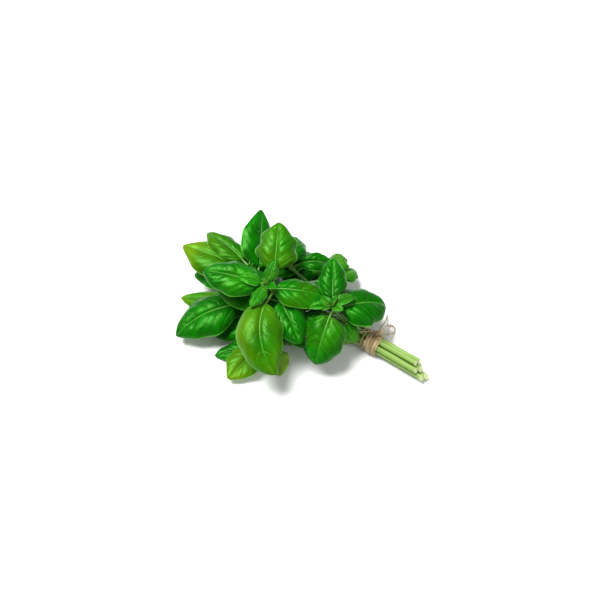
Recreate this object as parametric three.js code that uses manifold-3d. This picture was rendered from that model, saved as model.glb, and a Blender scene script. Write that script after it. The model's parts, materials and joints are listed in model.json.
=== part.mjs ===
// A tied bunch of fresh basil lying on its side, in millimetres, +Z up.
//
// Seven sprigs are held by a few turns of thin twine. The cut ends point along +X, and past the tie
// the stems fan out along -X, each carrying opposite pairs of leaves that get smaller towards its tip.
// Everything is laid out from the middle of the tie, and the finished bunch is then shifted so that
// its origin is at the middle of the surface it rests on.

import * as THREE from "three";
import Module from "manifold-3d";
import { mergeVertices } from "three/addons/utils/BufferGeometryUtils.js";

const wasm = await Module();
wasm.setup();

// ---- Driving dimensions ----

const STEM_RADIUS = 2.4; // at the cut end
const TIP_SHARE = 0.5; // a stem's radius at its tip, as a share of that
const STEM_PITCH = 5.2; // between neighbouring stems inside the tie
const STEM_SIDES = 8;
const TWINE_DIAMETER = 1.2;
const WRAP_INNER = STEM_PITCH + STEM_RADIUS + 0.3;
const WRAP_OUTER = WRAP_INNER + 1.5 * TWINE_DIAMETER; // one layer, and part of a second
const WRAP_LENGTH = 12.5; // along the stems
const FLOOR = -WRAP_OUTER; // the tie rests on the surface that the bunch lies on
const GAP = 0.35; // the least space between two pieces that touch
const BLADE_THICKNESS = 1.2; // on a full-grown leaf, as is the stalk's radius
const STALK_RADIUS = 1.05;
const FULL_GROWN = 50; // a blade this long or longer is full-grown
const YOUNG = 30; // one shorter than this is young, and lighter in colour

const green = (hue) => new THREE.MeshStandardMaterial({ color: hue, roughness: 0.45, metalness: 0 });
const LEAF_GREEN = green(0x2f8a1c);
const YOUNG_GREEN = green(0x5aa632);
const STEM_GREEN = green(0x8fbf55);
const JUTE = new THREE.MeshStandardMaterial({ color: 0xb08d5e, roughness: 0.9, metalness: 0 });

// ---- Shared geometry ----

const radians = THREE.MathUtils.degToRad;

// A closed solid through rings of points, each going round the way along them right-handedly.
// The ends close on the middle of their ring, or the far one on a point of its own.
function loft(rings, apex) {
  const sides = rings[0].length;
  const middle = (ring) =>
    ring.reduce((sum, p) => sum.add(p), new THREE.Vector3()).divideScalar(sides);
  const points = [middle(rings[0]), ...rings.flat(), apex ?? middle(rings.at(-1))];
  const at = (ring, side) => 1 + ring * sides + (side % sides);
  const faces = [];
  for (let side = 0; side < sides; side++) {
    faces.push(0, at(0, side + 1), at(0, side));
    for (let ring = 0; ring + 1 < rings.length; ring++) {
      faces.push(at(ring, side), at(ring, side + 1), at(ring + 1, side));
      faces.push(at(ring, side + 1), at(ring + 1, side + 1), at(ring + 1, side));
    }
    faces.push(points.length - 1, at(rings.length - 1, side), at(rings.length - 1, side + 1));
  }
  return new THREE.BufferGeometry().setFromPoints(points).setIndex(faces);
}

// A tube along a curve, whose radius may change along it.
// slant cuts its start off at an angle, so that the underside reaches farther.
function tube(curve, steps, sides, radiusAt, slant = 0) {
  const frames = curve.computeFrenetFrames(steps);
  const rings = [];
  for (let i = 0; i <= steps; i++) {
    const centre = curve.getPointAt(i / steps);
    const out = frames.normals[i];
    const across = frames.binormals[i];
    const radius = radiusAt(i / steps);
    const ring = [];
    for (let side = 0; side < sides; side++) {
      const turn = (2 * Math.PI * side) / sides;
      const point = centre
        .clone()
        .addScaledVector(out, radius * Math.cos(turn))
        .addScaledVector(across, radius * Math.sin(turn));
      if (i === 0) point.addScaledVector(frames.tangents[0], slant * (point.z - centre.z));
      ring.push(point);
    }
    rings.push(ring);
  }
  return loft(rings);
}

// The same geometry as a manifold-3d solid, for testing what it meets.
function solidOf(geometry) {
  const bare = mergeVertices(
    new THREE.BufferGeometry()
      .setAttribute("position", geometry.getAttribute("position"))
      .setIndex(geometry.index),
  );
  return new wasm.Manifold(
    new wasm.Mesh({
      numProp: 3,
      vertProperties: new Float32Array(bare.attributes.position.array),
      triVerts: new Uint32Array(bare.index.array),
    }),
  );
}

const bunch = new THREE.Group();
const placed = []; // the solids that a new leaf has to clear

function add(name, geometry, material) {
  geometry.computeVertexNormals();
  const mesh = new THREE.Mesh(geometry, material);
  mesh.name = name;
  bunch.add(mesh);
  placed.push(solidOf(geometry));
}

// ---- Stems ----

// Where a stem passes the tie, as an angle round the middle stem.
const slot = (degrees) => [
  0,
  STEM_PITCH * Math.cos(radians(degrees)),
  STEM_PITCH * Math.sin(radians(degrees)),
];

// A stem runs straight from its cut end through the tie, and then bends through its own points.
function stem(name, { cutEnd, cutSlant, tie, route }) {
  const [, y, z] = tie;
  const spread = 1.06; // the bundle opens a little towards the cut ends
  const start = [cutEnd, spread * y, spread * z];
  const held = [cutEnd / 2, 8, -8].map((x) => [x, y, z]);
  const points = [start, ...held, ...route];
  const curve = new THREE.CatmullRomCurve3(points.map((p) => new THREE.Vector3(...p)));
  const radiusAt = (share) => STEM_RADIUS * (1 - (1 - TIP_SHARE) * share ** 1.5);
  add(name, tube(curve, 18, STEM_SIDES, radiusAt, cutSlant), STEM_GREEN);
  return { curve, radiusAt, length: curve.getLength() };
}

// ---- Leaves ----

// Half of a blade's width, as a share of the widest, from its foot at 0 to its point at 1.
// A higher point makes a narrower foot and a longer point.
const WIDEST_AT = 0.4;
const outline = (t, point) =>
  ((t / WIDEST_AT) ** WIDEST_AT * ((1 - t) / (1 - WIDEST_AT)) ** (1 - WIDEST_AT)) ** point;
const BLADE_STATIONS = [0.03, 0.13, 0.28, 0.46, 0.64, 0.8, 0.93];

// One ring of the blade: left margin, upper face, right margin, lower face with the midrib's ridge.
// Each half of the blade slopes up from the midrib by fold and down at its margin by cup.
function bladeRing(half, fold, cup, thickness, ridge) {
  const section = (v, offset) => {
    const v1 = Math.abs(v);
    const slope = fold - (fold + cup) * v1;
    const along = half * (v1 - (slope * slope * v1) / 6);
    const height = half * (fold * v1 - ((fold + cup) * v1 * v1) / 2);
    const y = Math.sign(v) * (along - offset * Math.sin(slope));
    return [y, height + offset * Math.cos(slope)];
  };
  const ribShare = Math.min(0.8 / half, 0.3);
  const top = thickness / 2;
  return [
    section(1, 0),
    section(0.5, top),
    section(0, top),
    section(-0.5, top),
    section(-1, 0),
    section(-0.5, -top),
    section(-ribShare, -top - ridge),
    section(ribShare, -top - ridge),
    section(0.5, -top),
  ];
}

// One ring of the stalk, with its points in the same order as the blade's.
function stalkRing(radius) {
  return [0, 45, 90, 135, 180, 225, 255, 285, 315].map((degrees) => [
    radius * Math.cos(radians(degrees)),
    radius * Math.sin(radians(degrees)),
  ]);
}

// A leaf with its foot at the origin, its stalk along +X and its upper face up.
// The midrib bends down by droop, sideways by sway and turns by twist along the blade.
// grow makes it larger all over, to test that there is room round it.
function leafGeometry(leaf, grow = 0) {
  const { length, width, stalk, droop, sway, twist, fold, cup, point } = leaf;
  const young = Math.sqrt(Math.min(1, length / FULL_GROWN));
  const thickness = BLADE_THICKNESS * Math.max(young, 0.7) + 2 * grow;
  const stalkRadius = STALK_RADIUS * young + grow;
  const place = new THREE.Vector3();
  const turn = new THREE.Quaternion();
  const share = 1 / length;
  const go = (step, bend) => {
    const half = new THREE.Quaternion().setFromEuler(
      new THREE.Euler(
        (bend * radians(twist) * step * share) / 2,
        (bend * radians(droop) * step * share) / 2,
        (bend * radians(sway) * step * share) / 2,
      ),
    );
    turn.multiply(half);
    place.add(new THREE.Vector3(step, 0, 0).applyQuaternion(turn));
    turn.multiply(half);
  };
  const ringHere = (section) =>
    section.map(([y, z]) => new THREE.Vector3(0, y, z).applyQuaternion(turn).add(place));
  const rings = [ringHere(stalkRing(stalkRadius))];
  go(stalk * 0.6, 0);
  rings.push(ringHere(stalkRing(stalkRadius * 0.9)));
  go(stalk * 0.4, 0);
  let before = 0;
  for (const t of BLADE_STATIONS) {
    go((t - before) * length, 1);
    before = t;
    const half = (width / 2) * outline(t, point) + grow;
    const ridge = 0.6 * (1 - t) * young;
    rings.push(ringHere(bladeRing(half, radians(fold), radians(cup), thickness, ridge)));
  }
  go((1 - before) * length + grow, 1);
  return loft(rings, place.clone());
}

// Small turns of a leaf about its foot, the smallest first: [heading, pitch, roll] in degrees.
const STEPS = [0, 6, -6, 12, -12, 18, -18, 24, -24, 30, -30];
const effort = ([heading, pitch, roll]) => Math.hypot(heading, 1.2 * pitch, 0.7 * roll);
const NUDGES = STEPS.flatMap((heading) =>
  STEPS.flatMap((pitch) => STEPS.map((roll) => [heading, pitch, roll])),
).sort((a, b) => effort(a) - effort(b));

// The foot of a leaf that leaves a stem in a given direction: clear of the stem by GAP.
function footOn(stemRun, down, turn, stalkRadius) {
  const share = 1 - down / stemRun.length;
  const forward = new THREE.Vector3(1, 0, 0).applyQuaternion(turn);
  const cosine = Math.abs(forward.dot(stemRun.curve.getTangentAt(share)));
  const sine = Math.max(0.4, Math.sqrt(1 - cosine * cosine));
  const out = (stemRun.radiusAt(share) + GAP + stalkRadius * cosine) / sine;
  return stemRun.curve.getPointAt(share).addScaledVector(forward, out);
}

// Whether a solid is above the floor and clear of everything placed so far.
function clears(solid) {
  const box = solid.boundingBox();
  if (box.min[2] < FLOOR) return false;
  return placed.every((other) => {
    const near = other.boundingBox();
    const apart = [0, 1, 2].some((i) => box.min[i] > near.max[i] || box.max[i] < near.min[i]);
    return apart || solid.intersect(other).isEmpty();
  });
}

const TYPICAL_LEAF = {
  stalk: 10,
  droop: 35,
  sway: 0,
  twist: 0,
  fold: 18,
  cup: 50,
  roll: 0,
  point: 1.1,
};

// Leaves push each other aside: a leaf is turned about its foot, by as little as possible,
// until it lies clear of what is already there.
function leaf(name, stemRun, shape) {
  const full = { ...TYPICAL_LEAF, ...shape };
  const stalkRadius = STALK_RADIUS * Math.sqrt(Math.min(1, full.length / FULL_GROWN));
  const grown = solidOf(leafGeometry(full, GAP));
  for (const [heading, pitch, roll] of NUDGES) {
    const turn = new THREE.Quaternion().setFromEuler(
      new THREE.Euler(
        radians(full.roll + roll),
        radians(-full.pitch - pitch),
        radians(full.heading + heading),
        "ZYX",
      ),
    );
    const foot = footOn(stemRun, full.down, turn, stalkRadius);
    const pose = new THREE.Matrix4().compose(foot, turn, new THREE.Vector3(1, 1, 1));
    if (!clears(grown.transform(pose.elements))) continue;
    const colour = full.length < YOUNG ? YOUNG_GREEN : LEAF_GREEN;
    const mesh = new THREE.Mesh(leafGeometry(full), colour);
    mesh.name = name;
    mesh.position.copy(foot);
    mesh.quaternion.copy(turn);
    bunch.add(mesh);
    placed.push(solidOf(mesh.geometry).transform(pose.elements));
    return;
  }
  throw new Error(`There is no room for ${name}`);
}

// ---- Sprigs ----

// A sprig's stem ends at cutEnd, passes its own place in the tie, and goes on through its route.
// A leaf's foot is down millimetres below the stem's tip. Its heading is the direction it grows in,
// from +X towards +Y, and its pitch is how far it rises. Both are in degrees, as droop, the bend
// along the blade, and roll are.
const SPRIGS = {
  crown: {
    cutEnd: 44,
    cutSlant: 0.5,
    tie: slot(150),
    route: [
      [-40, -11, 9],
      [-74, -23, 24],
      [-91, -28, 44],
    ],
    leaves: [
      { down: 9, heading: -77, pitch: 12, length: 67, width: 44, stalk: 14, droop: 58, sway: 60 },
      { down: 9, heading: 120, pitch: 40, length: 44, width: 40, stalk: 15, droop: 44, fold: 14 },
      { down: 5, heading: 34, pitch: 10, length: 48, width: 34, stalk: 2, droop: 40 },
      { down: 5, heading: 202, pitch: 20, length: 50, width: 38, stalk: 6, droop: 40, roll: -8 },
      { down: 0.5, heading: -84, pitch: 14, length: 24, width: 14, stalk: 1.5, droop: 40 },
      { down: 0.5, heading: 103, pitch: 40, length: 19, width: 13, stalk: 1.5, droop: 30 },
      { down: 2, heading: 205, pitch: 16, length: 19, width: 12, stalk: 2, fold: 30, cup: 20 },
      { down: 26, heading: 198, pitch: 6, length: 48, width: 36, droop: 24 },
      { down: 26, heading: 28, pitch: -8, length: 46, width: 36, droop: 40 },
      { down: 44, heading: -92, pitch: -14, length: 34, width: 28, stalk: 6, droop: 36 },
      { down: 44, heading: 20, pitch: -14, length: 30, width: 28, stalk: 6, droop: 10 },
      { down: 16, heading: -8, pitch: -6, length: 42, width: 32, stalk: 4, droop: 30 },
      { down: 16, heading: 172, pitch: 0, length: 40, width: 32, stalk: 4, droop: 30 },
    ],
  },
  short: {
    cutEnd: 41,
    cutSlant: 0.3,
    tie: slot(90),
    route: [
      [-20, -2.5, 12],
      [-32, -8, 25],
      [-37, -12, 39],
    ],
    leaves: [
      { down: 3, heading: 124, pitch: 30, length: 36, width: 27, stalk: 6, droop: 30 },
      { down: 4, heading: -76, pitch: -10, length: 44, width: 42, stalk: 6, droop: 58, point: 0.9 },
      { down: 7, heading: 50, pitch: 12, length: 42, width: 46, stalk: 5, droop: 56, point: 0.85 },
      { down: 12, heading: 226, pitch: -8, length: 44, width: 32, stalk: 6, droop: 40 },
      { down: 0.5, heading: 204, pitch: 0, length: 14, width: 8, stalk: 3, fold: 40, cup: 0 },
      { down: 0.5, heading: 57, pitch: 18, length: 16, width: 10, stalk: 3, fold: 40, cup: 0 },
      { down: 20, heading: -20, pitch: -10, length: 19, width: 20, stalk: 4, droop: 60 },
      { down: 26, heading: 90, pitch: 4, length: 36, width: 32, stalk: 6, droop: 50 },
      { down: 20, heading: 165, pitch: -16, length: 34, width: 28, stalk: 4, droop: 20 },
    ],
  },
  far_left: {
    cutEnd: 46,
    cutSlant: 0.6,
    tie: [0, 0, 0],
    route: [
      [-45, -1, 4],
      [-90, -7, 11],
      [-122, -12, 24],
    ],
    leaves: [
      { down: 4, heading: 190, pitch: 6, length: 57, width: 46, stalk: 6, droop: 16, point: 1.4 },
      { down: 5, heading: 168, pitch: 16, length: 46, width: 30, stalk: 8, droop: 34, roll: 12 },
      { down: 9, heading: 118, pitch: 24, length: 55, width: 40, stalk: 4, roll: 38, droop: 16, point: 1.5 },
      { down: 14, heading: 204, pitch: -2, length: 48, width: 32, droop: 20 },
      { down: 36, heading: 90, pitch: 0, length: 48, width: 36, droop: 30 },
      { down: 36, heading: 240, pitch: 0, length: 44, width: 32, droop: 30 },
      { down: 18, heading: 62, pitch: -4, length: 42, width: 34, stalk: 6, droop: 20 },
      { down: 26, heading: 165, pitch: 14, length: 44, width: 34, stalk: 6, droop: 30 },
      { down: 24, heading: 15, pitch: -14, length: 34, width: 28, stalk: 4, droop: 20 },
    ],
  },
  back: {
    cutEnd: 42,
    cutSlant: 0.2,
    tie: slot(30),
    route: [
      [-40, 7, 8],
      [-74, 9, 17],
      [-96, 8, 28],
    ],
    leaves: [
      { down: 4, heading: 122, pitch: 4, length: 36, width: 30, stalk: 6, droop: 40 },
      { down: 4, heading: 38, pitch: 34, length: 42, width: 22, stalk: 8, droop: 130, fold: 40 },
      { down: 10, heading: 150, pitch: 0, length: 44, width: 34, droop: 36 },
      { down: 26, heading: 66, pitch: -6, length: 36, width: 30, droop: 50 },
    ],
  },
  right: {
    cutEnd: 43,
    cutSlant: 0.7,
    tie: slot(330),
    route: [
      [-26, 10, -2],
      [-48, 22, 2],
      [-61, 30, 11],
    ],
    leaves: [
      { down: 3, heading: 120, pitch: 14, length: 26, width: 24, stalk: 5, droop: 50 },
      { down: 4, heading: 84, pitch: 14, length: 22, width: 22, stalk: 5, droop: 50 },
      { down: 16, heading: 160, pitch: -2, length: 40, width: 30, droop: 30 },
      { down: 20, heading: 10, pitch: 0, length: 26, width: 24, stalk: 6, droop: 50 },
    ],
  },
  near_left: {
    cutEnd: 50,
    cutSlant: 0.8,
    tie: slot(210),
    route: [
      [-45, -14, 1],
      [-84, -28, 5],
      [-110, -36, 14],
    ],
    leaves: [
      { down: 5, heading: -131, pitch: 10, length: 59, width: 47, stalk: 8, droop: 48, sway: 20, point: 1.2 },
      { down: 8, heading: 202, pitch: -4, length: 53, width: 28, stalk: 7, droop: 10 },
      { down: 22, heading: -122, pitch: -6, length: 36, width: 28, droop: 20 },
      { down: 36, heading: -86, pitch: -4, length: 42, width: 32, droop: 30 },
      { down: 34, heading: 20, pitch: 6, length: 42, width: 34, stalk: 6, droop: 10 },
    ],
  },
  near: {
    cutEnd: 52,
    cutSlant: 0.9,
    tie: slot(270),
    route: [
      [-26, -12.5, -7],
      [-60, -39, -5],
      [-80, -58, 0],
    ],
    leaves: [
      { down: 4, heading: -96, pitch: 2, length: 34, width: 30, stalk: 6, droop: 14, cup: 25, point: 1.4 },
      { down: 5, heading: 224, pitch: 0, length: 32, width: 18, stalk: 5, droop: 10, cup: 25 },
      { down: 14, heading: -44, pitch: 2, length: 22, width: 20, stalk: 6, fold: 30, cup: -10 },
      { down: 36, heading: 215, pitch: -2, length: 38, width: 28, droop: 20 },
    ],
  },
};

const stems = {};
for (const [name, sprig] of Object.entries(SPRIGS)) stems[name] = stem(`stem_${name}`, sprig);

// ---- Twine ----

// The turns of twine round the stems are one band. Its hole takes the stems.
function band(name) {
  const half = WRAP_LENGTH / 2;
  const rim = WRAP_OUTER - 0.5 * TWINE_DIAMETER;
  const profile = [
    [half, WRAP_INNER],
    [half, rim],
    [0.7 * half, WRAP_OUTER],
    [-0.7 * half, WRAP_OUTER],
    [-half, rim],
    [-half, WRAP_INNER],
  ];
  const around = 24;
  const points = [];
  const faces = [];
  for (let i = 0; i < around; i++) {
    const turn = (2 * Math.PI * i) / around - Math.PI / 2;
    profile.forEach(([x, radius], j) => {
      points.push(new THREE.Vector3(x, radius * Math.cos(turn), radius * Math.sin(turn)));
      const next = (j + 1) % profile.length;
      const a = i * profile.length;
      const b = ((i + 1) % around) * profile.length;
      faces.push(a + j, a + next, b + j, a + next, b + next, b + j);
    });
  }
  add(name, new THREE.BufferGeometry().setFromPoints(points).setIndex(faces), JUTE);
}

const KNOT = [1, 3.9, 11.9];

function knot(name) {
  const lump = new THREE.SphereGeometry(1, 12, 8).scale(2.6, 2.3, 1.9);
  lump.deleteAttribute("uv").deleteAttribute("normal");
  const solid = mergeVertices(lump).rotateX(-radians(18)).translate(...KNOT);
  add(name, solid, JUTE);
}

// A loose length of twine through its own points.
const CORDS = new Set();
function cord(name, points, steps) {
  const curve = new THREE.CatmullRomCurve3(points.map((p) => new THREE.Vector3(...p)));
  add(name, tube(curve, steps, STEM_SIDES, () => TWINE_DIAMETER / 2), JUTE);
  CORDS.add(name);
}

band("twine_wrap");
knot("twine_knot");
cord(
  "twine_loop_right",
  [
    [3, 6.4, 12.9],
    [2.8, 11, 11.6],
    [1.2, 16.5, 5.5],
    [-0.6, 22, -2],
    [-1.9, 26.4, -7.4],
    [-0.2, 29, FLOOR + 0.6 * TWINE_DIAMETER],
    [3.2, 28.8, FLOOR + 0.6 * TWINE_DIAMETER],
    [5.4, 25.4, -8.8],
    [5.9, 20.5, -6.5],
    [5.7, 15.6, -1.2],
    [5.3, 12.4, 4.4],
    [4.9, 9.4, 8.8],
    [4.1, 6.9, 10.9],
  ],
  24,
);
cord(
  "twine_loop_left",
  [
    [-1.9, 2.4, 12.6],
    [-6.4, 1, 11.2],
    [-11, -1.6, 10.1],
    [-15.2, -5.2, 8],
    [-16.2, -8.7, 5.2],
    [-13.4, -9.5, 2],
    [-7.5, -9.2, 0.2],
  ],
  18,
);
cord(
  "twine_tail",
  [
    [0.9, 7, 13.1],
    [0, 11, 12.3],
    [-1.2, 16, 8],
    [-3.9, 24.1, 0],
    [-6.8, 31.4, -6.5],
    [-8.6, 36, FLOOR + 0.6 * TWINE_DIAMETER],
  ],
  16,
);

// Every sprig's first leaf takes its place before any sprig's second one, and so on.
const mostLeaves = Math.max(...Object.values(SPRIGS).map((sprig) => sprig.leaves.length));
for (let i = 0; i < mostLeaves; i++) {
  for (const [name, sprig] of Object.entries(SPRIGS)) {
    if (i < sprig.leaves.length) leaf(`leaf_${name}_${i + 1}`, stems[name], sprig.leaves[i]);
  }
}

// ---- Origin ----

// The loose twine doesn't count towards the size.
const box = new THREE.Box3();
for (const mesh of bunch.children) {
  if (!CORDS.has(mesh.name)) box.expandByObject(mesh, true);
}
const middle = box.getCenter(new THREE.Vector3());
bunch.position.set(-middle.x, -middle.y, -box.min.z);

export default bunch;
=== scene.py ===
# %% [markdown]
# # A tied bunch of fresh basil
#
# Seven sprigs of basil lie on a pale surface, tied round their stems with thin jute twine.
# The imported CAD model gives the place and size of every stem, leaf and length of twine as plain
# closed solids. This lesson lays a fine skin of real leaf, stem and twine over each of them.

# %% Load the frame
import json
import math
import random

import bmesh
import bpy
import numpy as np
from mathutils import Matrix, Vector, noise

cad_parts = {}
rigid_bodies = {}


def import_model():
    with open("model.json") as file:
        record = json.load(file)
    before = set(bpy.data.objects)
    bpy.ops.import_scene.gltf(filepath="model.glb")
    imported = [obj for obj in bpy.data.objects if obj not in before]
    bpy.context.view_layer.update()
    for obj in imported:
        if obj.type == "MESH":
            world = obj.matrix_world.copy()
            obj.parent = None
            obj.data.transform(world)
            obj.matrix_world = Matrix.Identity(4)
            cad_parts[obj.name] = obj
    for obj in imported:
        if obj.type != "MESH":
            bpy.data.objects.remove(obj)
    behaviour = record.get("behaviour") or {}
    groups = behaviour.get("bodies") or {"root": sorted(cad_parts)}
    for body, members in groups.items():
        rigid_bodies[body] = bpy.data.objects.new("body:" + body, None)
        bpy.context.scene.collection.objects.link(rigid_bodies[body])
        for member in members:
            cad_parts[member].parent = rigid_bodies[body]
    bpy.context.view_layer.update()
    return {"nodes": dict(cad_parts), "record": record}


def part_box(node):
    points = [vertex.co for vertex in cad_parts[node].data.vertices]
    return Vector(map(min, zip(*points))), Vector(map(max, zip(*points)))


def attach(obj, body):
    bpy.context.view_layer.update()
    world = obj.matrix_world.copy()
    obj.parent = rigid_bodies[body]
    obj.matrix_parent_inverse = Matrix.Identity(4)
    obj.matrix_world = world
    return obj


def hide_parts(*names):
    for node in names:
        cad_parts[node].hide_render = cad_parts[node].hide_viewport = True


for leftover in list(bpy.data.objects):
    bpy.data.objects.remove(leftover)
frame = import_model()
SLOT_OF = {part["node"]: part["material_slot"] for part in frame["record"]["subparts"]}
MM = 0.001

# %% [markdown]
# ## Camera
#
# The bunch is seen from above its near side, turned so that the stems point to the lower right.
# Everything is placed from the middle of the tie, because the stems, the leaves and the loose
# twine all start there. A long lens keeps the near leaves from looking too large.

# %% Camera
TIE_LOW, TIE_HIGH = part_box("twine_wrap")
TIE = (TIE_LOW + TIE_HIGH) / 2
VIEW_TURN, VIEW_RISE = math.radians(35), math.radians(55)
VIEW_DISTANCE = 0.9
VIEW_WIDTH = 0.51
RIGHT = Vector((math.cos(VIEW_TURN), math.sin(VIEW_TURN), 0))
BACK = Vector((
    math.sin(VIEW_TURN) * math.cos(VIEW_RISE),
    -math.cos(VIEW_TURN) * math.cos(VIEW_RISE),
    math.sin(VIEW_RISE),
))
UP = BACK.cross(RIGHT)


def seen_at(right, up, back):
    """A point that far from the tie, to the right, up and towards the camera."""
    return TIE + RIGHT * right + UP * up + BACK * back


camera_data = bpy.data.cameras.new("camera")
camera_data.sensor_width = 36
camera_data.lens = camera_data.sensor_width * VIEW_DISTANCE / VIEW_WIDTH
camera = bpy.data.objects.new("camera", camera_data)
bpy.context.scene.collection.objects.link(camera)
camera.location = seen_at(-0.063, 0.0365, VIEW_DISTANCE)
camera.rotation_mode = "QUATERNION"
camera.rotation_quaternion = (-BACK).to_track_quat("-Z", "Y")
bpy.context.scene.camera = camera
print(f"camera with a {camera_data.lens:.0f} mm lens, {VIEW_DISTANCE} m from the bunch")

# %% [markdown]
# ## Rolling and laying a grid
#
# Leaves, stems and twine are all thin things that follow a line. A flat grid has the right mesh
# for each: laid over a leaf's shape it is the blade, and rolled round a line it is a stem or a
# strand. The grid keeps its UV map, so a finish always knows how far along it is.


# %% Grid helpers
def new_grid(name, along, across):
    """A flat grid, and for each of its points how far along and across it is, from 0 to 1."""
    bpy.ops.object.select_all(action="DESELECT")
    bpy.ops.mesh.primitive_grid_add(x_subdivisions=along, y_subdivisions=across, size=1)
    grid = bpy.context.object
    grid.name = grid.data.name = name
    flat = np.empty(len(grid.data.vertices) * 3)
    grid.data.vertices.foreach_get("co", flat)
    flat = flat.reshape(-1, 3)
    return grid, flat[:, 0] + 0.5, flat[:, 1] + 0.5


def set_points(piece, points):
    piece.data.vertices.foreach_set("co", np.asarray(points, float).ravel())
    piece.data.update()


def keep_values(piece, name, values):
    """Stores one number for each point, which a material can read."""
    attribute = piece.data.attributes.new(name, "FLOAT", "POINT")
    attribute.data.foreach_set("value", np.asarray(values, np.float32))


def smooth_between(knots, values, places):
    """A smooth curve through values at knots, read at places."""
    knots, values = np.asarray(knots, float), np.asarray(values, float)
    steps = np.diff(knots)
    slopes = np.diff(values, axis=0) / steps[:, None]
    inner = (slopes[:-1] * steps[1:, None] + slopes[1:] * steps[:-1, None]) / (
        steps[1:] + steps[:-1]
    )[:, None]
    tangents = np.concatenate([slopes[:1], inner, slopes[-1:]])
    places = np.clip(places, knots[0], knots[-1])
    index = np.clip(np.searchsorted(knots, places, side="right") - 1, 0, len(steps) - 1)
    step = steps[index][:, None]
    share = ((places - knots[index]) / steps[index])[:, None]
    return (
        (1 + 2 * share) * (1 - share) ** 2 * values[index]
        + share * (1 - share) ** 2 * step * tangents[index]
        + share**2 * (3 - 2 * share) * values[index + 1]
        + share**2 * (share - 1) * step * tangents[index + 1]
    )


def roll(name, centres, out, side, along, around, shape=None):
    """Rolls a grid into a tube. Its line, and the two radii of its section, change along it."""
    tube, u, v = new_grid(name, along, around)
    knots = np.linspace(0, 1, len(centres))
    turn = 2 * math.pi * v
    size = np.ones_like(u) if shape is None else shape(u, turn)
    middle, first, second = (smooth_between(knots, values, u) for values in (centres, out, side))
    ring = first * np.cos(turn)[:, None] + second * np.sin(turn)[:, None]
    set_points(tube, middle + ring * size[:, None])
    bpy.ops.object.mode_set(mode="EDIT")
    bpy.ops.mesh.select_all(action="SELECT")
    bpy.ops.mesh.remove_doubles(threshold=1e-6)
    bpy.ops.mesh.select_all(action="DESELECT")
    bpy.ops.mesh.select_non_manifold(extend=False)
    bpy.ops.mesh.fill_holes(sides=0)
    bpy.ops.mesh.select_all(action="SELECT")
    bpy.ops.mesh.normals_make_consistent(inside=False)
    bpy.ops.object.mode_set(mode="OBJECT")
    bpy.ops.object.shade_smooth_by_angle(angle=math.radians(50))
    return tube


def frames_along(points):
    """Two directions square to a line at each of its points, with as little twist as can be."""
    points = np.asarray(points, float)
    tangents = np.gradient(points, axis=0)
    tangents /= np.linalg.norm(tangents, axis=1)[:, None]
    first = np.cross(tangents[0], (0.3, 0.2, 1))
    out = []
    for tangent in tangents:
        first = first - tangent * (first @ tangent)
        first = first / np.linalg.norm(first)
        out.append(first)
    out = np.array(out)
    return out, np.cross(tangents, out)


def join_into(main, *others):
    bpy.ops.object.select_all(action="DESELECT")
    for piece in (main, *others):
        piece.select_set(True)
    bpy.context.view_layer.objects.active = main
    bpy.ops.object.join()
    return main


print("grids can be laid and rolled")

# %% [markdown]
# ## Finishes
#
# A basil leaf is deep green and waxy on top, with paler veins in shallow grooves and skin that
# puffs up between them. Its colour also carries painted shade in the grooves by the side veins,
# a painted sheen on the puffs and a painted highlight along the margin. Its underside is matt
# and greyer. Light that falls on a leaf also glows through it, so each face mixes some
# translucence into its surface.


# %% Node helpers
class Nodes:
    """A few short words for building a material."""

    def __init__(self, name):
        self.material = bpy.data.materials.new(name)
        self.material.use_nodes = True
        self.tree = self.material.node_tree
        self.tree.nodes.clear()

    def add(self, kind, inputs=None, **settings):
        node = self.tree.nodes.new(kind)
        for key, value in settings.items():
            setattr(node, key, value)
        for key, value in (inputs or {}).items():
            if isinstance(value, bpy.types.NodeSocket):
                self.tree.links.new(value, node.inputs[key])
            else:
                node.inputs[key].default_value = value
        return node

    def math(self, operation, *values, clamp=False):
        numbered = dict(enumerate(values))
        return self.add("ShaderNodeMath", numbered, operation=operation, use_clamp=clamp).outputs[0]

    def spread(self, value, low, high, new_low=0.0, new_high=1.0):
        """Maps low to high onto new_low to new_high, with soft ends."""
        inputs = {0: value, 1: low, 2: high, 3: new_low, 4: new_high}
        kind = "ShaderNodeMapRange"
        return self.add(kind, inputs, interpolation_type="SMOOTHSTEP").outputs[0]

    def mix(self, share, one, other, blend="MIX"):
        node = self.add("ShaderNodeMix", data_type="RGBA", blend_type=blend)
        sockets = (node.inputs[0], node.inputs[6], node.inputs[7])
        for socket, value in zip(sockets, (share, one, other)):
            if isinstance(value, bpy.types.NodeSocket):
                self.tree.links.new(value, socket)
            else:
                socket.default_value = value if isinstance(value, float) else (*value, 1)
        return node.outputs[2]

    def noise(self, scale, detail=3.0, where=None):
        place = where or self.add("ShaderNodeTexCoord").outputs["Object"]
        inputs = {"Vector": place, "Scale": scale, "Detail": detail}
        return self.add("ShaderNodeTexNoise", inputs).outputs["Fac"]

    def value_of(self, name):
        return self.add("ShaderNodeAttribute", attribute_name=name).outputs["Fac"]

    def bump(self, height, distance, strength=1.0, under=None):
        inputs = {"Height": height, "Distance": distance, "Strength": strength}
        if under is not None:
            inputs["Normal"] = under
        return self.add("ShaderNodeBump", inputs).outputs["Normal"]

    def finish(self, shader):
        self.add("ShaderNodeOutputMaterial", {"Surface": shader})
        return self.material


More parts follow.
